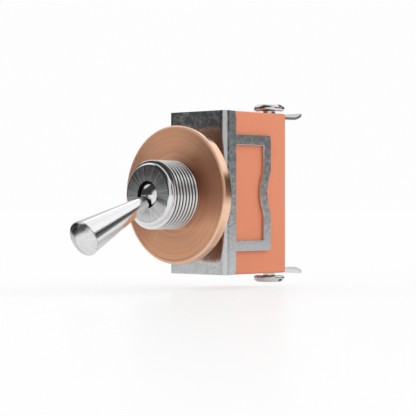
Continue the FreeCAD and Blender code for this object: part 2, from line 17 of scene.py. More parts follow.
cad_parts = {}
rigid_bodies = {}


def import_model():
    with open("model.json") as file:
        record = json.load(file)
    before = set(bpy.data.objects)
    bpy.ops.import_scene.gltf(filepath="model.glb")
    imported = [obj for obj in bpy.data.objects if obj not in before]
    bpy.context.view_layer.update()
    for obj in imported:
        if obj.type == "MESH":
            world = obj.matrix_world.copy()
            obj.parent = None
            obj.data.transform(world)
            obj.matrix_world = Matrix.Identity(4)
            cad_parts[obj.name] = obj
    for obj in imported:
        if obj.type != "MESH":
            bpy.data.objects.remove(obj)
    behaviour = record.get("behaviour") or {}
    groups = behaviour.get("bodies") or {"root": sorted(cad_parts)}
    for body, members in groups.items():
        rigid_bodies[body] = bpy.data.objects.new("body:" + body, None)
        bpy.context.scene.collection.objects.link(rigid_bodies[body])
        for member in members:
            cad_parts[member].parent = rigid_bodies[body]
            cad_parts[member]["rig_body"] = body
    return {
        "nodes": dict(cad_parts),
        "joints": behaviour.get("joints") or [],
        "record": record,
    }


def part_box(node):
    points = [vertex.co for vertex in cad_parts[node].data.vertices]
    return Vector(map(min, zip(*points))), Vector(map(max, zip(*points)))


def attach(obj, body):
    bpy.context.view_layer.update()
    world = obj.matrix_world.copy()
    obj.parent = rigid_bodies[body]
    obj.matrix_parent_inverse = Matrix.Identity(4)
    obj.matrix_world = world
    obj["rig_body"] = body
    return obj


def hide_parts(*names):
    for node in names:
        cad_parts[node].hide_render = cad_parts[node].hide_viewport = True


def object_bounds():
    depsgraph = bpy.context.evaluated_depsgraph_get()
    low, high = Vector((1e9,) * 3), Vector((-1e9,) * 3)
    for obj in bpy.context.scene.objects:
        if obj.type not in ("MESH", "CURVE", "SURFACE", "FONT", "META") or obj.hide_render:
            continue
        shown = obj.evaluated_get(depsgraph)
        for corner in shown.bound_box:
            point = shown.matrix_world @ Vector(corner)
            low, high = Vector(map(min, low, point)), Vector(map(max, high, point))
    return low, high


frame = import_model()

cad_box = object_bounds()
record = frame["record"]
MM = 0.001

# %% [markdown]
# ## Sizes from the frame
#
# Nothing is measured twice. The bush's radius is in its mount, the lever turns about its joint, and the
# disc's radius and thickness are the corners of its box. Only details that the solids leave out, such as the
# thread's pitch and the depth of its grooves, are new numbers here. The sheet's bend is one of them: the
# solid has it a little tighter than the photograph shows.

# %% Read the sizes
mounts = {mount["name"]: mount for mount in record["mounts"]}
joints = {joint["name"]: joint for joint in frame["joints"]}
bush_low, bush_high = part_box("threaded_bush")
disc_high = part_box("seat_disc")[1]
bracket_low, bracket_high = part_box("frame_bracket")
retainer_low, retainer_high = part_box("ball_retainer")
crest = mounts["panel_bush"]["dims"]["r_mm"] * MM
thread_length = mounts["panel_bush"]["dims"]["length_mm"] * MM
nose = bush_low.y
pivot = Vector(joints["lever_hinge"]["pos_m"])
LEVER_TILT = radians(23.3)
PITCH = 0.75 * MM
GROOVE = 0.40 * MM
CAD_BEND = 0.75 * MM
BEND = 1.2 * MM
print("crest radius", round(crest / MM, 2), "thread length", round(thread_length / MM, 2), "mm")

# %% [markdown]
# ## Shader maths in plain Python
#
# A material is a graph of nodes, and a graph is hard to read as code. `Wire` holds one output socket and
# knows the operators, so that `0.3 + 0.2 * grain` adds the Math nodes by itself. `Finish` holds the node
# tree: its `add` takes a node's type, its settings and the values or links of its sockets. Colours go
# through Mix nodes, because a Math node would turn them grey. A mask is made with `fade`, which takes the
# value where the mask is 0 and the value where it is 1, in the value's own unit.

# %% The Wire and Finish helpers
class Wire:
    """One output socket, with arithmetic that adds Math nodes."""

    def __init__(self, finish, socket):
        self.finish = finish
        self.socket = socket

    def math(self, operation, first, second):
        return self.finish.add("ShaderNodeMath", {"operation": operation}, {0: first, 1: second})

    def __add__(self, other):
        return self.math("ADD", self, other)

    def __sub__(self, other):
        return self.math("SUBTRACT", self, other)

    def __mul__(self, other):
        return self.math("MULTIPLY", self, other)

    def __rsub__(self, other):
        return self.math("SUBTRACT", other, self)

    def __abs__(self):
        return self.finish.add("ShaderNodeMath", {"operation": "ABSOLUTE"}, {0: self})

    __radd__ = __add__
    __rmul__ = __mul__


class Finish:
    """A node tree that is built one node at a time."""

    def __init__(self, tree):
        self.tree = tree
        tree.nodes.clear()

    def add(self, kind, settings=None, inputs=None, output=0):
        node = self.tree.nodes.new(kind)
        for name, value in (settings or {}).items():
            setattr(node, name, value)
        for name, value in (inputs or {}).items():
            if isinstance(value, Wire):
                self.tree.links.new(value.socket, node.inputs[name])
            else:
                node.inputs[name].default_value = value
        return Wire(self, node.outputs[output]) if node.outputs else node

    def vector(self, operation, *inputs, output=0):
        """A vector maths node, with its inputs in order."""
        return self.add("ShaderNodeVectorMath", {"operation": operation}, dict(enumerate(inputs)), output)

    def dot(self, vector, axis):
        """How far a vector reaches along an axis."""
        return self.vector("DOT_PRODUCT", vector, tuple(axis), output=1)

    def length(self, vector):
        return self.vector("LENGTH", vector, output=1)

    def object_mm(self, scale=(1, 1, 1)):
        """The object's own coordinates in millimetres, stretched by scale."""
        place = self.add("ShaderNodeTexCoord", output="Object")
        stretch = tuple(value / MM for value in scale)
        return self.add("ShaderNodeMapping", {}, {"Vector": place, "Scale": stretch})

    def noise(self, vector, scale, detail=3.0, roughness=0.5):
        inputs = {"Vector": vector, "Scale": scale, "Detail": detail, "Roughness": roughness}
        return self.add("ShaderNodeTexNoise", {}, inputs)

    def fade(self, value, zero, one):
        """0 where the value is at zero, 1 where it is at one, and straight in between."""
        return self.add("ShaderNodeMapRange", {}, {"Value": value, "From Min": zero, "From Max": one})

    def blend(self, mask, first, second):
        """A colour that goes from first to second as the mask goes from 0 to 1."""
        return self.add("ShaderNodeMix", {"data_type": "RGBA"}, {0: mask, 6: first, 7: second}, output=2)

    def mix(self, share, first, second):
        """A shader that goes from first to second as the share goes from 0 to 1."""
        return self.add("ShaderNodeMixShader", {}, {0: share, 1: first, 2: second})

    def bump(self, height, distance, strength=1.0):
        inputs = {"Height": height, "Distance": distance, "Strength": strength}
        return self.add("ShaderNodeBump", {}, inputs)


def new_material(name):
    material = bpy.data.materials.new(name)
    material.use_nodes = True
    return material, Finish(material.node_tree)


def principled(finish, inputs):
    shader = finish.add("ShaderNodeBsdfPrincipled", {}, inputs)
    finish.add("ShaderNodeOutputMaterial", {}, {"Surface": shader})


def srgb(red, green, blue):
    """A screen colour from 0 to 255 as the linear colour that a shader takes."""
    linear = []
    for value in (red / 255, green / 255, blue / 255):
        linear.append(value / 12.92 if value < 0.04045 else ((value + 0.055) / 1.055) ** 2.4)
    return (*linear, 1.0)


print("pale copper in linear light:", [round(value, 3) for value in srgb(205, 150, 122)])

# %% [markdown]
# ## Chromed metal
#
# The bat and the bush are plated brass, polished on a wheel. Their colour comes nearly all from what they
# mirror, so the material is a bright metal with a low roughness. Only a faint cloudiness and a few hairline
# marks keep it from looking like a computer's perfect mirror.

# %% Chrome
def make_chrome(name, tone, roughness, cloud):
    material, finish = new_material(name)
    place = finish.object_mm()
    clouds = finish.noise(place, 0.55, 4.0)
    hairs = finish.noise(finish.object_mm((9.0, 0.6, 9.0)), 1.4, 2.0)
    principled(finish, {
        "Base Color": finish.blend(clouds, tone, tuple(0.93 * value for value in tone[:3]) + (1.0,)),
        "Metallic": 1.0,
        "Roughness": roughness + cloud * (clouds * hairs),
        "Normal": finish.bump(hairs, 0.002 * MM, 0.25),
    })
    return material


chrome = make_chrome("polished_chrome", srgb(232, 232, 233), 0.09, 0.16)
bright_nickel = make_chrome("bright_nickel", srgb(222, 221, 220), 0.12, 0.16)
print("made", chrome.name, "and", bright_nickel.name)

# %% [markdown]
# ## Turned metal
#
# A face that was cut on a lathe carries very fine rings about its axis. They spread a reflection outwards
# from the centre, which is why a turned face shows light and dark spokes. The rings are a noise that depends
# only on the distance from the axis. The spokes are also painted into the colour as painted reflection, with
# a noise that depends only on the angle, because it reads the direction away from the axis instead of the
# place.

# %% Turned chrome for the bush
def axis_distance(finish):
    """Distance from the bush's axis, in millimetres."""
    return finish.length(finish.object_mm((1, 0, 1)))


def axis_direction(finish):
    """Direction away from the bush's axis, as a vector of length 1."""
    return finish.vector("NORMALIZE", finish.object_mm((1, 0, 1)))


def rings(finish, distance, scale, detail=2.0):
    inputs = {"W": distance, "Scale": scale, "Detail": detail}
    return finish.add("ShaderNodeTexNoise", {"noise_dimensions": "1D"}, inputs)


def spokes(finish, scale):
    """A noise that changes with the angle about the bush's axis and not with the distance from it."""
    return finish.noise(axis_direction(finish), scale, 5.0, 0.7)


def make_turned_chrome():
    material, finish = new_material("turned_chrome")
    distance = axis_distance(finish)
    fine = rings(finish, distance, 26.0, 3.0)
    # Light and dark spokes painted into the colour: painted reflection.
    painted_streaks = finish.fade(spokes(finish, 14.0), 0.36, 0.70)
    principled(finish, {
        "Base Color": finish.blend(painted_streaks, srgb(186, 186, 187), srgb(240, 240, 241)),
        "Metallic": 1.0,
        "Roughness": 0.17 + 0.14 * painted_streaks,
        "Normal": finish.bump(fine, 0.004 * MM, 0.5),
    })
    return material


# The bore behind the opening is painted nearly black: painted shade in the recess.
def make_painted_shade_bore():
    material, finish = new_material("painted_shade_bore")
    bore_noise = finish.noise(finish.object_mm(), 2.0, 4.0)
    principled(finish, {
        "Base Color": finish.blend(bore_noise, srgb(24, 24, 24), srgb(52, 51, 50)),
        "Metallic": 0.6,
        "Roughness": 0.35 + 0.2 * bore_noise,
    })
    return material


turned_chrome = make_turned_chrome()
painted_shade_bore = make_painted_shade_bore()
print("made", turned_chrome.name, "and", painted_shade_bore.name)

# %% [markdown]
# ## Plated thread
#
# A thread is painted bright on its crests and dark in its grooves: the dark is painted shade. The
# mask is the distance from the axis, between the groove's root and its crest. The thread's uppermost and
# lowest crests are less metallic, so they are whiter and mirror less of the disc: a painted highlight.

# %% Plated thread
def make_thread_metal():
    material, finish = new_material("plated_thread")
    wear = finish.noise(finish.object_mm(), 1.6, 4.0)
    # Dark in the grooves, bright on the crests: painted shade.
    painted_crest_light = finish.fade(axis_distance(finish), (crest - 0.5 * GROOVE) / MM, (crest - 0.1 * GROOVE) / MM)
    height = abs(finish.dot(finish.object_mm(), (0, 0, 1)))
    # The uppermost and lowest crests are less metallic, so they show white: a painted highlight.
    painted_pale_ends = (0.3 + 0.7 * painted_crest_light) * finish.fade(height, 4.4, 5.75)
    principled(finish, {
        "Base Color": finish.blend(painted_crest_light, srgb(50, 49, 48), srgb(234, 234, 234)),
        "Metallic": 1 - 0.75 * painted_pale_ends,
        "Roughness": 0.15 + 0.12 * wear,
    })
    return material


plated_thread = make_thread_metal()
print("made", plated_thread.name)

# %% [markdown]
# ## Brushed copper
#
# The seat disc is satin: it was held against an abrasive while it turned. Broad rings change its tone, and
# fine rings give the surface its grain. Satin metal mirrors in a fan, so its face shows light and dark
# sectors about the axis, and here they are painted into the colour. `sector` draws one of them, by its angle
# up from +X. Wide soft spokes of lighter colour are painted sheen, and two dark sectors are painted shade.
# The top sector and the rounded front edge are less metallic and the rim's colour is paler: painted
# highlights.
# Beside the bush a dark patch is a painted reflection of the bush, and a dark segment on the rim's right is a
# painted reflection too. The rear face is darker.

# %% Copper
def sector(finish, direction, angle, outer, inner, both_sides=False):
    """1 within inner degrees of an angle about the axis, falling to 0 at outer degrees."""
    near = finish.dot(direction, (cos(radians(angle)), 0, sin(radians(angle))))
    return finish.fade(abs(near) if both_sides else near, cos(radians(outer)), cos(radians(inner)))


def make_copper():
    material, finish = new_material("brushed_copper")
    distance = axis_distance(finish)
    direction = axis_direction(finish)
    depth = finish.dot(finish.object_mm(), (0, 1, 0))
    broad = rings(finish, distance, 1.1, 2.0)
    fine = rings(finish, distance, 7.0, 5.0)
    painted_fans = spokes(finish, 1.6)
    # Places on the disc are in millimetres from the axis or behind the front, and in degrees about it.
    face = finish.fade(distance, 11.9, 11.5)
    rim = 1 - face
    back = face * finish.fade(depth, 1.55, 1.7)
    # The rounded front edge is made less metallic below, so it shows lighter: a painted highlight.
    painted_edge_highlight = rim * finish.fade(depth, 0.45, 0.2)
    # The top sector is less metallic below, so it shows lighter: a painted highlight.
    painted_top_highlight = face * sector(finish, direction, 99.8, 45.3, 12.8)
    # Two dark sectors, right and left of the axis: painted shade.
    shade = face * sector(finish, direction, 14, 43.9, 11.5, both_sides=True)
    # A dark patch to the bush's upper right: a painted reflection of the bush.
    painted_bush_reflection = sector(finish, direction, 42.2, 56.6, 17.9) * finish.fade(distance, 9.4, 6.5)
    # A dark segment on the rim at its right: a painted reflection.
    painted_rim_reflection = rim * sector(finish, direction, 4.6, 13.6, 5.7)
    # The colour, one layer over the other.
    tone = finish.blend(broad, srgb(202, 132, 97), srgb(246, 186, 148))
    # The spokes of lighter colour are painted sheen.
    tone = finish.blend(0.25 * fine + 0.2 * painted_fans, tone, srgb(244, 195, 159))
    # The dark sectors and the bush's dark patch are painted shade and painted reflection.
    tone = finish.blend(0.49 * shade + 0.42 * painted_bush_reflection, tone, srgb(148, 84, 57))
    # The rim's colour is paler: a painted highlight.
    tone = finish.blend(0.6 * rim, tone, srgb(250, 216, 190))
    # The rim's dark segment is painted in here as a painted reflection.
    tone = finish.blend(0.5 * painted_rim_reflection, tone, srgb(164, 98, 68))
    principled(finish, {
        "Base Color": finish.blend(0.6 * back, tone, srgb(134, 74, 50)),
        "Metallic": 0.92 - 0.2 * face - 0.36 * painted_top_highlight - 0.6 * painted_edge_highlight,
        "Roughness": 0.20 + face * (0.05 + 0.12 * fine),
        "Normal": finish.bump(fine, 0.05 * MM, 0.6),
    })
    return material


copper = make_copper()
print("made", copper.name)

# %% [markdown]
# ## Galvanised sheet
#
# Hot zinc freezes in crystals, and handling dulls them, so the bracket is grey and mottled at two sizes:
# cells of about a millimetre and a finer speckle. The colour hardly changes between them. It is mostly the
# roughness that does, so the mottle shows in what the zinc mirrors. Along the bend the colour is painted
# a little darker, most of all in the upper half: painted shade.

# %% Galvanised steel
def make_galvanised():
    material, finish = new_material("galvanised_sheet")
    place = finish.object_mm()
    crystal_inputs = {"Vector": place, "Scale": 1.1}
    crystals = finish.add("ShaderNodeTexVoronoi", {"feature": "F1"}, crystal_inputs, output="Distance")
    speckle = finish.noise(place, 1.7, 6.0, 0.68)
    mottle = finish.fade(0.35 * crystals + 0.75 * speckle, 0.35, 0.75)
    zinc = finish.blend(mottle, srgb(204, 205, 207), srgb(218, 219, 220))
    bend_start = (bracket_high.x - BEND) / MM
    behind_plate = finish.dot(place, (0, 1, 0)) - bracket_low.y / MM
    at_side = finish.fade(abs(finish.dot(place, (1, 0, 0))), bend_start, bend_start + 0.15)
    at_bend = at_side * finish.fade(behind_plate, BEND / MM, 1.0)
    # Darker along the bend, most of all in the upper half: painted shade.
    painted_bend_shade = at_bend * (0.25 + 0.75 * finish.fade(finish.dot(place, (0, 0, 1)), -13.3, 0.0))
    principled(finish, {
        "Base Color": finish.blend(0.4 * painted_bend_shade, zinc, srgb(160, 161, 163)),
        "Metallic": 1.0,
        "Roughness": 0.12 + 0.17 * mottle,
        "Normal": finish.bump(speckle, 0.03 * MM, 0.4),
    })
    return material


galvanised = make_galvanised()
print("made", galvanised.name)

# %% [markdown]
# ## Moulded plastic
#
# The housing is pale orange thermoset with a fine matt grain from the mould. A faint cloudiness in the
# colour keeps the large flat side alive. The same recipe in near black makes the actuator.

# %% Mouldings
def make_moulding(name, dark, light, roughness):
    material, finish = new_material(name)
    place = finish.object_mm()
    clouds = finish.noise(place, 0.16, 4.0)
    grain = finish.noise(place, 7.0, 4.0, 0.6)
    principled(finish, {
        "Base Color": finish.blend(clouds, dark, light),
        "Roughness": roughness + 0.12 * grain,
        "Specular IOR Level": 0.35,
        "Normal": finish.bump(grain, 0.008 * MM, 0.5),
    })
    return material


orange = make_moulding("orange_moulding_dressed", srgb(227, 140, 106), srgb(232, 147, 112), 0.55)
black_moulding = make_moulding("black_moulding_dressed", srgb(34, 34, 35), srgb(46, 46, 47), 0.45)
print("made", orange.name, "and", black_moulding.name)

# %% [markdown]
# ## Small metals and the fibre sheet
#
# The strips are tinned, the springs and pins are drawn wire, the inner contact parts are brass with silver
# faces, and the liner is pressed brown fibre. One recipe with a grain direction serves all the metals.

# %% Strip, wire, brass, silver and fibre
def make_drawn_metal(name, dark, light, roughness, grain=(1.0, 1.0, 1.0)):
    material, finish = new_material(name)
    lines = finish.noise(finish.object_mm(grain), 3.0, 4.0, 0.6)
    spots = finish.noise(finish.object_mm(), 1.2, 5.0)
    principled(finish, {
        "Base Color": finish.blend(0.6 * lines + 0.4 * spots, dark, light),
        "Metallic": 1.0,
        "Roughness": roughness + 0.15 * spots,
        "Normal": finish.bump(lines, 0.01 * MM, 0.35),
    })
    return material


def make_fibre():
    material, finish = new_material("fibre_sheet_dressed")
    place = finish.object_mm((1.0, 4.0, 0.4))
    strands = finish.noise(place, 3.0, 6.0, 0.7)
    principled(finish, {
        "Base Color": finish.blend(strands, srgb(92, 58, 42), srgb(142, 98, 74)),
        "Roughness": 0.75 + 0.15 * strands,
        "Normal": finish.bump(strands, 0.02 * MM, 0.6),
    })
    return material


along_strip = (1.0, 0.25, 1.0)
tinned = make_drawn_metal("tinned_strip_dressed", srgb(212, 212, 212), srgb(238, 238, 237), 0.13, along_strip)
drawn_steel = make_drawn_metal("drawn_steel", srgb(150, 150, 153), srgb(190, 190, 192), 0.28, (0.2, 2.0, 2.0))
brass = make_drawn_metal("rolled_brass", srgb(196, 160, 92), srgb(222, 190, 122), 0.25)
silver = make_drawn_metal("silver_face", srgb(206, 206, 206), srgb(232, 232, 230), 0.2)
fibre = make_fibre()
print("made", [m.name for m in (tinned, drawn_steel, brass, silver, fibre)])

# %% [markdown]
# ## The pieces inside
#
# Only gaps show them, so they keep the solids' own meshes and get the metals and mouldings made above.

# %% Give the inner CAD pieces their finish
INNER_FINISHES = {
    "ball_retainer": brass, "plunger": brass, "rocker_contact": brass, "line_nut": brass, "common_nut": brass,
    "lever_pivot_pin": drawn_steel, "actuator_pin": drawn_steel, "rocker_pin": drawn_steel,
    "plunger_spring": drawn_steel, "moving_contact": silver, "fixed_contact": silver,
    "actuator": black_moulding, "insulating_liner": fibre,
}
for node_name, material in INNER_FINISHES.items():
    frame["nodes"][node_name].material_slots[0].material = material
print("dressed inner pieces:", len(INNER_FINISHES))

# %% [markdown]
# ## Turning pieces on a lathe
#
# Most of what shows is round. A turned piece is half of its outline, given as (radius, place) pairs along
# the axis and swept by the spin operator. Corners are softened afterwards with the bevel operator, which
# picks the rings where the surface turns sharply, so the outline itself needs only its true corners.

# %% Lathe helpers
def finish_mesh(bm, name, material, body, corner=35.0):
    """Turns a bmesh into an object at the origin that rides on a body."""
    mesh = bpy.data.meshes.new(name)
    bm.to_mesh(mesh)
    bm.free()
    for polygon in mesh.polygons:
        polygon.use_smooth = True
    mesh.set_sharp_from_angle(angle=radians(corner))
    mesh.materials.append(material)
    piece = bpy.data.objects.new(name, mesh)
    bpy.context.scene.collection.objects.link(piece)
    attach(piece, body)
    print(name, "faces", len(mesh.polygons))
    return piece


def sharp_edges(bm, least):
    return [edge for edge in bm.edges if edge.is_manifold and edge.calc_face_angle() > radians(least)]


def soften(bm, edges, width, segments=3):
    bmesh.ops.bevel(
        bm, geom=edges, offset=width, offset_type="OFFSET", affect="EDGES", segments=segments,
        profile=0.5, material=-1, clamp_overlap=True,
    )


def turn(profile, steps=128):
    """A closed body of revolution about the Y axis, from (radius, y) corners."""
    bm = bmesh.new()
    verts = [bm.verts.new((radius, y, 0)) for radius, y in profile]
    edges = [bm.edges.new(pair) for pair in zip(verts, verts[1:])]
    if profile[0][0] > 0 or profile[-1][0] > 0:
        edges.append(bm.edges.new((verts[-1], verts[0])))
    bmesh.ops.spin(
        bm, geom=verts + edges, cent=(0, 0, 0), axis=(0, 1, 0), angle=2 * pi, steps=steps, use_merge=True,
    )
    bmesh.ops.remove_doubles(bm, verts=bm.verts, dist=1e-7)
    bmesh.ops.recalc_face_normals(bm, faces=bm.faces)
    return bm


def arc(centre_radius, centre_y, radius, start, end, steps):
    """Points of an arc in the outline's plane, from start to end in degrees from the outward direction."""
    points = []
    for step in range(steps + 1):
        angle = radians(start + (end - start) * step / steps)
        points.append((centre_radius + radius * cos(angle), centre_y + radius * sin(angle)))
    return points


print("ready to turn pieces")

# %% [markdown]
# ## The seat disc
#
# A flat round plate, bored for the bush. Its front corner is rounded by about a third of a millimetre, which
# draws the light line round the face. Its rear corner is only broken, by a tenth. Both are bevels of the
# rings where the rim turns sharply, the front one first.

# %% Seat disc
seat_radius = crest + 0.3 * MM
disc_radius = disc_high.x
disc_back = disc_high.y
DISC_LIP = 0.3 * MM
FRONT_CORNER = 0.36 * MM
REAR_CORNER = 0.12 * MM


def rim_corners(bm):
    return [edge for edge in sharp_edges(bm, 60) if edge.verts[0].co.xz.length > 0.98 * disc_radius]


disc_outline = [(crest, 0), (disc_radius, 0), (disc_radius, disc_back), (seat_radius, disc_back)]
disc_bm = turn(disc_outline + [(seat_radius, DISC_LIP), (crest, DISC_LIP)], 180)
front = [edge for edge in rim_corners(disc_bm) if edge.verts[0].co.y < 0.5 * disc_back]
soften(disc_bm, front, FRONT_CORNER, 6)
soften(disc_bm, rim_corners(disc_bm), REAR_CORNER)
seat_disc = finish_mesh(disc_bm, "seat_disc_dressed", copper, "switch_body")
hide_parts("seat_disc")

# %% [markdown]
# ## The bush's body
#
# One turned outline: the opening, the nose with its rounded lip, the chamfer, a core under the thread, and
# behind the disc the seat, the collar and the swaged spigot. The face leans back very slightly towards its
# rim, as polished faces do, which lets its upper half mirror the dark studio and its lower half the floor.

# %% Bush body
opening = 2.35 * MM
socket = 2.91 * MM
core = crest - 0.62 * MM
lip = 0.62 * MM
boss = crest - 0.5 * MM
thread_front = -thread_length - 0.25 * MM
spigot = crest - 0.7 * MM
swage = spigot + 0.6 * MM
collar = bush_high.x
bore = retainer_high.x
plate_front = bracket_low.y
plate_back = bush_high.y - 0.4 * MM
at_opening = -degrees(acos(opening / socket))
block = retainer_low.y - 0.05 * MM
at_block = degrees(asin((block - pivot.y) / socket))
face_rise = 0.11 * MM
face_width = boss - lip - opening
# The nose: its face from the opening outwards, then the rounded lip.
bush_outline = [(opening, nose)]
bush_outline += [(opening + face_width * t, nose + face_rise * t * t) for t in (0.25, 0.5, 0.75, 1.0)]
bush_outline += arc(boss - lip, nose + face_rise + lip, lip, -86, 0, 9)
# The shoulder in front of the thread: a raked face, a chamfer and a short land, then down to the core.
bush_outline += [(boss, thread_front - 0.05 * MM), (crest - 0.15 * MM, thread_front - 0.02 * MM)]
bush_outline += [(crest - 0.02 * MM, thread_front + 0.06 * MM), (crest - 0.02 * MM, thread_front + 0.1 * MM)]
bush_outline += [(core, thread_front + 0.16 * MM), (core, DISC_LIP), (seat_radius, DISC_LIP)]
# Behind the disc: its seat, the collar, the spigot through the plate and the swaged end.
bush_outline += [(seat_radius, disc_back), (collar, disc_back), (collar, plate_front), (spigot, plate_front)]
bush_outline += [(spigot, plate_back), (swage, plate_back), (swage, bush_high.y)]
# Back through the bore and round the socket to the opening.
bush_outline += [(bore, bush_high.y), (bore, block)]
bush_outline += arc(0, pivot.y, socket, at_block, at_opening, 16)
bush_bm = turn(bush_outline, 180)
bush_body = finish_mesh(bush_bm, "bush_turned_body", chrome, "switch_body", 25.0)
bush_body.data.materials.append(turned_chrome)
bush_body.data.materials.append(painted_shade_bore)
face_rim = boss - lip + 0.02 * MM
for polygon in bush_body.data.polygons:
    out = polygon.center.xz.length
    if polygon.normal.y < -0.9 and out < face_rim:
        polygon.material_index = 1
    # The bore inside the opening gets the nearly black painted shade.
    elif out < opening + 0.01 * MM and polygon.normal.y > -0.5:
        polygon.material_index = 2
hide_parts("threaded_bush")

# %% [markdown]
# ## The thread
#
# A thread is one groove's outline swept round the axis while it moves along it. The spin operator does just
# that: it is given the whole number of turns, and each step also shifts by its share of the pitch. The ends
# of such a sweep are ragged, so two planes cut it square, and bridging each cut to a ring inside gives the
# sleeve its ends and its inner wall. The ridge leans a little: its long flank faces the nose and the light,
# its short one the disc.

# %% Cut the thread
STEPS_PER_TURN = 96
# The ridge's outline from root to root: depth as a share of the groove, place as a share of the pitch.
RIDGE = (
    (1.0, 0.0), (0.925, 0.05), (0.675, 0.11), (0.45, 0.20), (0.2875, 0.31), (0.1625, 0.42), (0.0625, 0.53),
    (0.0, 0.63), (0.025, 0.69), (0.125, 0.77), (0.35, 0.86), (0.75, 0.95), (1.0, 1.0),
)


def ring_at(bm, radius, y):
    """A ring about the axis, as a list that has each of its edges once."""
    ring = bmesh.ops.create_circle(bm, segments=STEPS_PER_TURN, radius=radius, cap_ends=False)["verts"]
    upright = Matrix.Rotation(radians(90), 3, "X")
    bmesh.ops.rotate(bm, verts=ring, cent=(0, 0, 0), matrix=upright)
    bmesh.ops.translate(bm, verts=ring, vec=(0, y, 0))
    return list(dict.fromkeys(edge for vert in ring for edge in vert.link_edges))


def cut_square(bm, y, normal_y):
    """Cuts the sweep at y, throws away what lies beyond, and gives the edges that are open there."""
    geom = bm.verts[:] + bm.edges[:] + bm.faces[:]
    bmesh.ops.bisect_plane(
        bm, geom=geom, dist=1e-8, plane_co=(0, y, 0), plane_no=(0, normal_y, 0), clear_outer=True,
    )
    return [edge for edge in bm.edges if edge.is_boundary and abs(edge.verts[0].co.y - y) < 1e-6]


def make_thread(front, back, inner_radius):
    turns = int((back - front) / PITCH) + 3
    start = front - 1.5 * PITCH
    bm = bmesh.new()
    verts = [bm.verts.new((crest - depth * GROOVE, start + along * PITCH, 0)) for depth, along in RIDGE]
    edges = [bm.edges.new(pair) for pair in zip(verts, verts[1:])]
    bmesh.ops.spin(
        bm, geom=verts + edges, cent=(0, 0, 0), axis=(0, 1, 0), dvec=(0, PITCH / STEPS_PER_TURN, 0),
        angle=2 * pi * turns, steps=STEPS_PER_TURN * turns,
    )
    bmesh.ops.remove_doubles(bm, verts=bm.verts, dist=1e-6)
    front_cut = cut_square(bm, front, -1)
    back_cut = cut_square(bm, back, 1)
    front_ring = ring_at(bm, inner_radius, front)
    back_ring = ring_at(bm, inner_radius, back)
    bmesh.ops.bridge_loops(bm, edges=front_cut + front_ring)
    bmesh.ops.bridge_loops(bm, edges=back_cut + back_ring)
    bmesh.ops.bridge_loops(bm, edges=front_ring + back_ring)
    bmesh.ops.recalc_face_normals(bm, faces=bm.faces)
    return bm


thread_bm = make_thread(thread_front + 0.06 * MM, -0.01 * MM, core - 0.1 * MM)
thread = finish_mesh(thread_bm, "bush_thread", plated_thread, "switch_body", 30.0)
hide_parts("threaded_bush")

# %% [markdown]
# ## The bat's chrome
#
# The bat is polished more than the bush, so it needs its own chrome. Its hairlines depend only on the angle
# about its axis, so they run along the shank and fan out over the end. The end is buffed a little matt, and
# a bump adds what the mesh's low dome leaves out: it is fuller towards its upper left corner, which alone
# stays glossy and mirrors the dark part of the room.

# %% Polished bat
END_STARTS_MM = 18.47


def make_bat_chrome():
    material, finish = new_material("bat_chrome")
    along = Vector((0, -cos(LEVER_TILT), -sin(LEVER_TILT)))
    corner = Vector((-0.707, -0.707 * sin(LEVER_TILT), 0.707 * cos(LEVER_TILT)))
    arm = finish.vector("SUBTRACT", finish.object_mm(), tuple(pivot / MM))
    out = finish.vector("CROSS_PRODUCT", arm, tuple(along))
    radius = finish.length(out)
    at_end = finish.fade(finish.dot(arm, along), END_STARTS_MM - 0.04, END_STARTS_MM + 0.04)
    rise = finish.dot(arm, corner)
    rise = finish.add("ShaderNodeMath", {"operation": "MAXIMUM"}, {0: rise, 1: 0.0})
    fullness = at_end * (0.05 * (radius * radius) + 0.11 * (rise * rise))
    matt = at_end * finish.fade(rise, 2.1, 1.1)
    clouds = finish.noise(finish.object_mm(), 0.8, 4.0)
    hairs = finish.fade(finish.noise(finish.vector("NORMALIZE", out), 10.0, 6.0, 0.75), 0.40, 0.72)
    principled(finish, {
        "Base Color": finish.blend(clouds * hairs, srgb(236, 236, 237), srgb(190, 190, 192)),
        "Metallic": 1.0,
        "Roughness": 0.08 + 0.18 * matt + 0.08 * clouds + 0.12 * hairs,
        "Normal": finish.bump(0 - fullness, 1.0 * MM, 1.0),
    })
    return material


bat_chrome = make_bat_chrome()
print("made", bat_chrome.name)

# %% [markdown]
# ## The lever
#
# A bat: a ball in the socket, a thin neck, a straight taper and a low domed end with a rounded edge. Behind
# the ball a tail reaches into the actuator's fork. It is turned level about the pivot, then tilted to rest.
# Each arc of the outline starts or ends where its circle meets the next part, so those angles are worked
# out from the radii. Only the crease between the dome and its edge is a choice, 6 degrees of slope.

# %% Lever
BALL = 2.85 * MM
NECK = 1.05 * MM
TAIL_BALL = 0.9 * MM
TAIL_NECK = 0.55 * MM
TAIL_ROOT = 0.9 * MM
TAIL = 5.4 * MM
END = 3.075 * MM
END_EDGE = 0.35 * MM
END_DOME = 0.6 * MM
END_CREASE = 6.0
REACH = 18.8 * MM
flat = END - END_EDGE
dome_radius = (flat ** 2 + END_DOME ** 2) / (2 * END_DOME)
dome_half = degrees(asin(flat / dome_radius))
ball_at_neck = degrees(acos(NECK / BALL))
ball_at_tail = degrees(acos(TAIL_ROOT / BALL))
tail_at_neck = degrees(acos(TAIL_NECK / TAIL_BALL))
lever_outline = arc(0, -REACH - END_DOME + dome_radius, dome_radius, -90, -90 + dome_half, 6)
lever_outline += arc(flat, -REACH + END_EDGE, END_EDGE, -90 + dome_half + END_CREASE, 0, 8)
lever_outline += [(NECK, -BALL * sin(radians(ball_at_neck)) - 0.12 * MM)]
lever_outline += arc(0, 0, BALL, -ball_at_neck, ball_at_tail, 24)
lever_outline += [(TAIL_NECK, TAIL - TAIL_BALL * sin(radians(tail_at_neck)))]
lever_outline += arc(0, TAIL, TAIL_BALL, -tail_at_neck, 90, 12)
lever_bm = turn(lever_outline, 128)
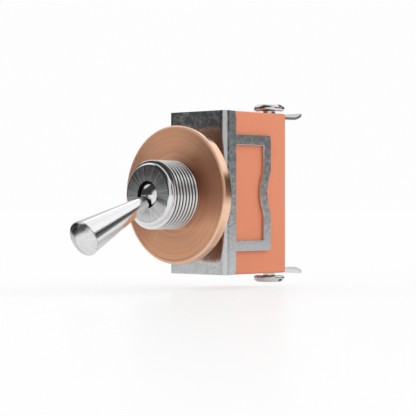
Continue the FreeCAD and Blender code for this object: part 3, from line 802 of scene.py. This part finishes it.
bmesh.ops.translate(lever_bm, verts=lever_bm.verts, vec=pivot)
tilt = Matrix.Rotation(LEVER_TILT, 3, "X")
bmesh.ops.rotate(lever_bm, verts=lever_bm.verts, cent=pivot, matrix=tilt)
lever = finish_mesh(lever_bm, "lever_bat", bat_chrome, "lever", 50.0)
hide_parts("lever")

# %% [markdown]
# ## Sheet, mouldings and screws
#
# These pieces are already right in outline, and want only what a press, a mould or a plating bath leaves:
# edges that aren't razor sharp. A copy of the CAD mesh is merged, its flat faces are joined up, and a narrow
# bevel runs along every real corner. Where a piece also needs a change of form, a function is given for it,
# which moves the mesh's points before the bevel.

# %% A dressed copy of a CAD piece
def dressed_copy(node_name, name, material, width, least=30.0, segments=2, shape=None):
    bm = bmesh.new()
    bm.from_mesh(frame["nodes"][node_name].data)
    bmesh.ops.remove_doubles(bm, verts=bm.verts, dist=1e-6)
    bmesh.ops.dissolve_limit(bm, angle_limit=radians(0.5), verts=bm.verts, edges=bm.edges)
    if shape:
        shape(bm)
    soften(bm, sharp_edges(bm, least), width, segments)
    piece = finish_mesh(bm, name, material, frame["nodes"][node_name]["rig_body"], 30.0)
    even = piece.modifiers.new("even_shading", "WEIGHTED_NORMAL")
    even.keep_sharp = True
    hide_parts(node_name)
    return piece


print("ready to dress copies of the solids")

# %% [markdown]
# ## The bracket's bends
#
# A press brake leaves the outside of a fold rounder than the solid has it. Each point on the bend's outer arc
# moves straight out to a wider arc that touches the same two flat faces, so nothing else changes.

# %% Ease the bends
def ease_bend(bm):
    """Opens the outside of the bracket's two bends, keeping the flat faces where they are."""
    for vert in bm.verts:
        side = 1 if vert.co.x > 0 else -1
        across = abs(vert.co.x) - (bracket_high.x - CAD_BEND)
        along = vert.co.y - (bracket_low.y + CAD_BEND)
        on_arc = abs(hypot(across, along) - CAD_BEND) < 0.02 * MM
        if across > -1e-6 and along < 1e-6 and on_arc:
            vert.co.x = side * (bracket_high.x - BEND + across * BEND / CAD_BEND)
            vert.co.y = bracket_low.y + BEND + along * BEND / CAD_BEND


dressed_copy("frame_bracket", "bracket_sheet", galvanised, 0.07 * MM, shape=ease_bend)

# %% [markdown]
# ## Screw heads
#
# The photograph's screws have heads like lenses, with the widest ring near mid height. The solids' heads are
# flat below with a small broken corner. That corner is drawn out, inwards and up, into the lower half of a
# lens. The slots and the shanks stay.

# %% Screw heads
HEAD_RADIUS = 2.8 * MM
HEAD_HEIGHT = 1.207 * MM
CAD_UNDER_EDGE = 0.2 * MM
UNDER_EDGE_WIDTH = 0.75 * MM
UNDER_EDGE_HEIGHT = 0.42 * MM
SLACK = 0.02 * MM


def lens_head(bm):
    """Draws a screw head's under edge out into the lower half of a lens."""
    xs, ys = [vert.co.x for vert in bm.verts], [vert.co.y for vert in bm.verts]
    centre = Vector(((min(xs) + max(xs)) / 2, (min(ys) + max(ys)) / 2))
    side = 1 if sum(vert.co.z for vert in bm.verts) > 0 else -1
    underside = max(side * vert.co.z for vert in bm.verts) - HEAD_HEIGHT
    moved = 0
    for vert in bm.verts:
        out = vert.co.xy - centre
        height = side * vert.co.z - underside
        inwards = HEAD_RADIUS - out.length
        if -SLACK < height < CAD_UNDER_EDGE + SLACK and inwards < CAD_UNDER_EDGE + SLACK:
            radius = HEAD_RADIUS - inwards * UNDER_EDGE_WIDTH / CAD_UNDER_EDGE
            height = height * UNDER_EDGE_HEIGHT / CAD_UNDER_EDGE
            place = centre + out.normalized() * radius
            vert.co = (place.x, place.y, side * (underside + height))
            moved += 1
    print("head drawn out,", moved, "points")


print("under edge of the heads", round(UNDER_EDGE_WIDTH / MM, 2), "x", round(UNDER_EDGE_HEIGHT / MM, 2), "mm")

# %% [markdown]
# ## Housing, terminals and screws
#
# The housing and the strips need nothing but their softened edges: a moulding's corners are never quite
# sharp, and a blanked strip has a rolled edge on one side and a broken burr on the other. The screws get
# their heads drawn out too.

# %% Housing, terminals and screws
dressed_copy("housing", "housing_moulding", orange, 0.08 * MM)
for end in ("line", "common"):
    screw, plated = end + "_screw", end + "_screw_plated"
    dressed_copy(end + "_terminal", end + "_strip", tinned, 0.06 * MM)
    dressed_copy(screw, plated, bright_nickel, 0.04 * MM, 50.0, shape=lens_head)

# %% [markdown]
# ## The table
#
# The floor is white to the camera, so the picture's background is plain, and only its middle keeps the
# switch's soft shadow. Metal sees another floor in the same place: a chalky table, lit from above, that fades
# out some way off. That edge draws the dark line along the bat and turns the zinc from dark at the top to
# light at the bottom. Close to the switch the table has a painted shadow, a darker patch that the lower
# pieces mirror.

# %% Floor
FLOOR_SIZE = 4.0
FLOOR_DROP = 1.0 * MM
TABLE_FULL, TABLE_END = 0.2, 0.9
PAPER_START, PAPER_FULL = 0.05, 0.22
PAINTED_SHADOW_PLACE = (0.014, 0.008)
PAINTED_SHADOW_SIZE = 0.018
floor_height = cad_box[0][2] - FLOOR_DROP


def make_floor_surface():
    material, finish = new_material("studio_floor")
    place = finish.add("ShaderNodeTexCoord", output="Object")
    away = finish.length(place)
    table = finish.fade(away, TABLE_END, TABLE_FULL)
    paper = 0.66 + 0.34 * finish.fade(away, PAPER_START, PAPER_FULL)
    # A painted shadow on the table near the switch, seen only by metal.
    from_painted_shadow = finish.length(finish.vector("SUBTRACT", place, (*PAINTED_SHADOW_PLACE, floor_height)))
    painted_shadow = 0.9 * finish.fade(from_painted_shadow, PAINTED_SHADOW_SIZE, 0.0)
    seen_by_camera = finish.add("ShaderNodeLightPath", output="Is Camera Ray")
    seen_by_metal = finish.add("ShaderNodeLightPath", output="Is Glossy Ray")
    smooth = {"Base Color": (0.955, 0.955, 0.955, 1), "Roughness": 0.3}
    surface = finish.add("ShaderNodeBsdfPrincipled", {}, smooth)
    white = finish.add("ShaderNodeEmission", {}, {"Color": (0.99, 0.99, 0.99, 1)})
    chalk = finish.add("ShaderNodeBsdfDiffuse", {}, {"Color": (0.955, 0.955, 0.955, 1)})
    painted_shadow_chalk = finish.add("ShaderNodeBsdfDiffuse", {}, {"Color": (0.5, 0.48, 0.47, 1)})
    lit = finish.add("ShaderNodeEmission", {}, {"Color": (1, 1, 1, 1), "Strength": 0.93})
    nothing = finish.add("ShaderNodeBsdfTransparent")
    table_top = finish.mix(0.45 * (1 - painted_shadow), finish.mix(painted_shadow, chalk, painted_shadow_chalk), lit)
    for_metal = finish.mix(table, nothing, table_top)
    for_camera = finish.mix(paper * seen_by_camera, surface, white)
    seen = finish.mix(seen_by_metal, for_camera, for_metal)
    finish.add("ShaderNodeOutputMaterial", {}, {"Surface": seen})
    return material


floor_bm = bmesh.new()
bmesh.ops.create_grid(floor_bm, x_segments=1, y_segments=1, size=FLOOR_SIZE)
bmesh.ops.translate(floor_bm, verts=floor_bm.verts, vec=(0, 0, floor_height))
floor_mesh = bpy.data.meshes.new("floor")
floor_bm.to_mesh(floor_mesh)
floor_bm.free()
floor_mesh.materials.append(make_floor_surface())
floor = bpy.data.objects.new("floor", floor_mesh)
bpy.context.scene.collection.objects.link(floor)
print("floor at", round(floor_height / MM, 2), "mm")

# %% [markdown]
# ## The room
#
# The world is plain white to the camera and to matt pieces. A mirror in an all-white room is just white, so
# metal sees a second room: nearly black, with soft round lights. The big one overhead and the wall beside
# the camera give the long bright bands, the strip and the left wall light the bat and the nose, and the weak
# ones near the horizon set the greys of the plate, the straps and the disc. Overhead is at half strength
# towards the front, because the photograph's chrome is darker there.

# %% World
world = bpy.data.worlds.new("studio")
bpy.context.scene.world = world
world.use_nodes = True
sky = Finish(world.node_tree)
direction = sky.add("ShaderNodeTexCoord", output="Generated")
ROOM_GLOW = 0.035
# Where each light stands, the degrees it is full to, the degrees it is gone at, and its strength.
ROOM_LIGHTS = {
    "overhead": ((0.2, 0.45, 0.87), 35, 42, 1.08),
    "strip": ((-0.70, -0.12, 0.68), 15, 25, 0.85),
    "left_wall": ((-0.66, 0.57, 0.48), 26, 38, 0.7),
    "camera_wall": ((0.76, -0.65, -0.1), 33, 49, 0.78),
    "back_right": ((0.70, 0.71, -0.10), 6, 22, 0.18),
    "front_left": ((-0.70, -0.71, -0.10), 7, 20, 0.03),
    "back_left": ((-0.72, 0.66, -0.15), 12, 26, 0.45),
    "right_high": ((0.72, -0.15, 0.68), 9, 20, 0.85),
}


def soft_light(towards, inner, outer):
    """1 within inner degrees of a direction, falling to 0 at outer degrees."""
    near = sky.dot(direction, Vector(towards).normalized())
    return sky.fade(near, cos(radians(outer)), cos(radians(inner)))


mirrored_room = ROOM_GLOW
for name, (towards, inner, outer, strength) in ROOM_LIGHTS.items():
    light = strength * soft_light(towards, inner, outer)
    if name == "overhead":
        backwards = sky.dot(direction, (0, 1, 0))
        light = light * (0.5 + 0.5 * sky.fade(backwards, 0.20, 0.30))
    mirrored_room = mirrored_room + light
seen_by_metal = sky.add("ShaderNodeLightPath", output="Is Glossy Ray")
plain = sky.add("ShaderNodeBackground", {}, {"Color": (0.985, 0.985, 0.985, 1), "Strength": 1.0})
studio = sky.add("ShaderNodeBackground", {}, {"Color": (1, 1, 1, 1), "Strength": mirrored_room})
sky.add("ShaderNodeOutputWorld", {}, {"Surface": sky.mix(seen_by_metal, plain, studio)})
print("room lights:", len(ROOM_LIGHTS))

# %% [markdown]
# ## The lamp
#
# One soft disc, high on the picture's right and a little behind the switch, gives the shadow and some shape
# to the matt pieces. Metal doesn't see it, because the room already has its lights.

# %% Lamp
KEY_PLACE = Vector((0.45, 0.55, 0.55))
key_data = bpy.data.lights.new("key", "AREA")
key_data.shape = "DISK"
key_data.size = 0.35
key_data.energy = 1.2
key = bpy.data.objects.new("key", key_data)
key.location = KEY_PLACE
key.rotation_euler = (-KEY_PLACE).to_track_quat("-Z", "Y").to_euler()
key.visible_glossy = False
bpy.context.scene.collection.objects.link(key)

# %% [markdown]
# ## The camera
#
# The photograph was taken level with a long lens, from between the switch's front and its right side. The
# camera's place and its turn about the vertical were worked out from the outlines of the disc, the bush,
# the bracket and the housing.

# %% Camera
camera_data = bpy.data.cameras.new("camera")
camera_data.sensor_width = 36.0
camera_data.lens = 143.05
camera_data.clip_start = 0.001
camera = bpy.data.objects.new("camera", camera_data)
camera.location = (0.20235, -0.20466, -0.00228)
camera.rotation_euler = (radians(90), 0, radians(43.49))
bpy.context.scene.collection.objects.link(camera)
bpy.context.scene.camera = camera
bpy.context.scene.view_settings.view_transform = "Standard"
print("camera", [round(value, 4) for value in camera.location])
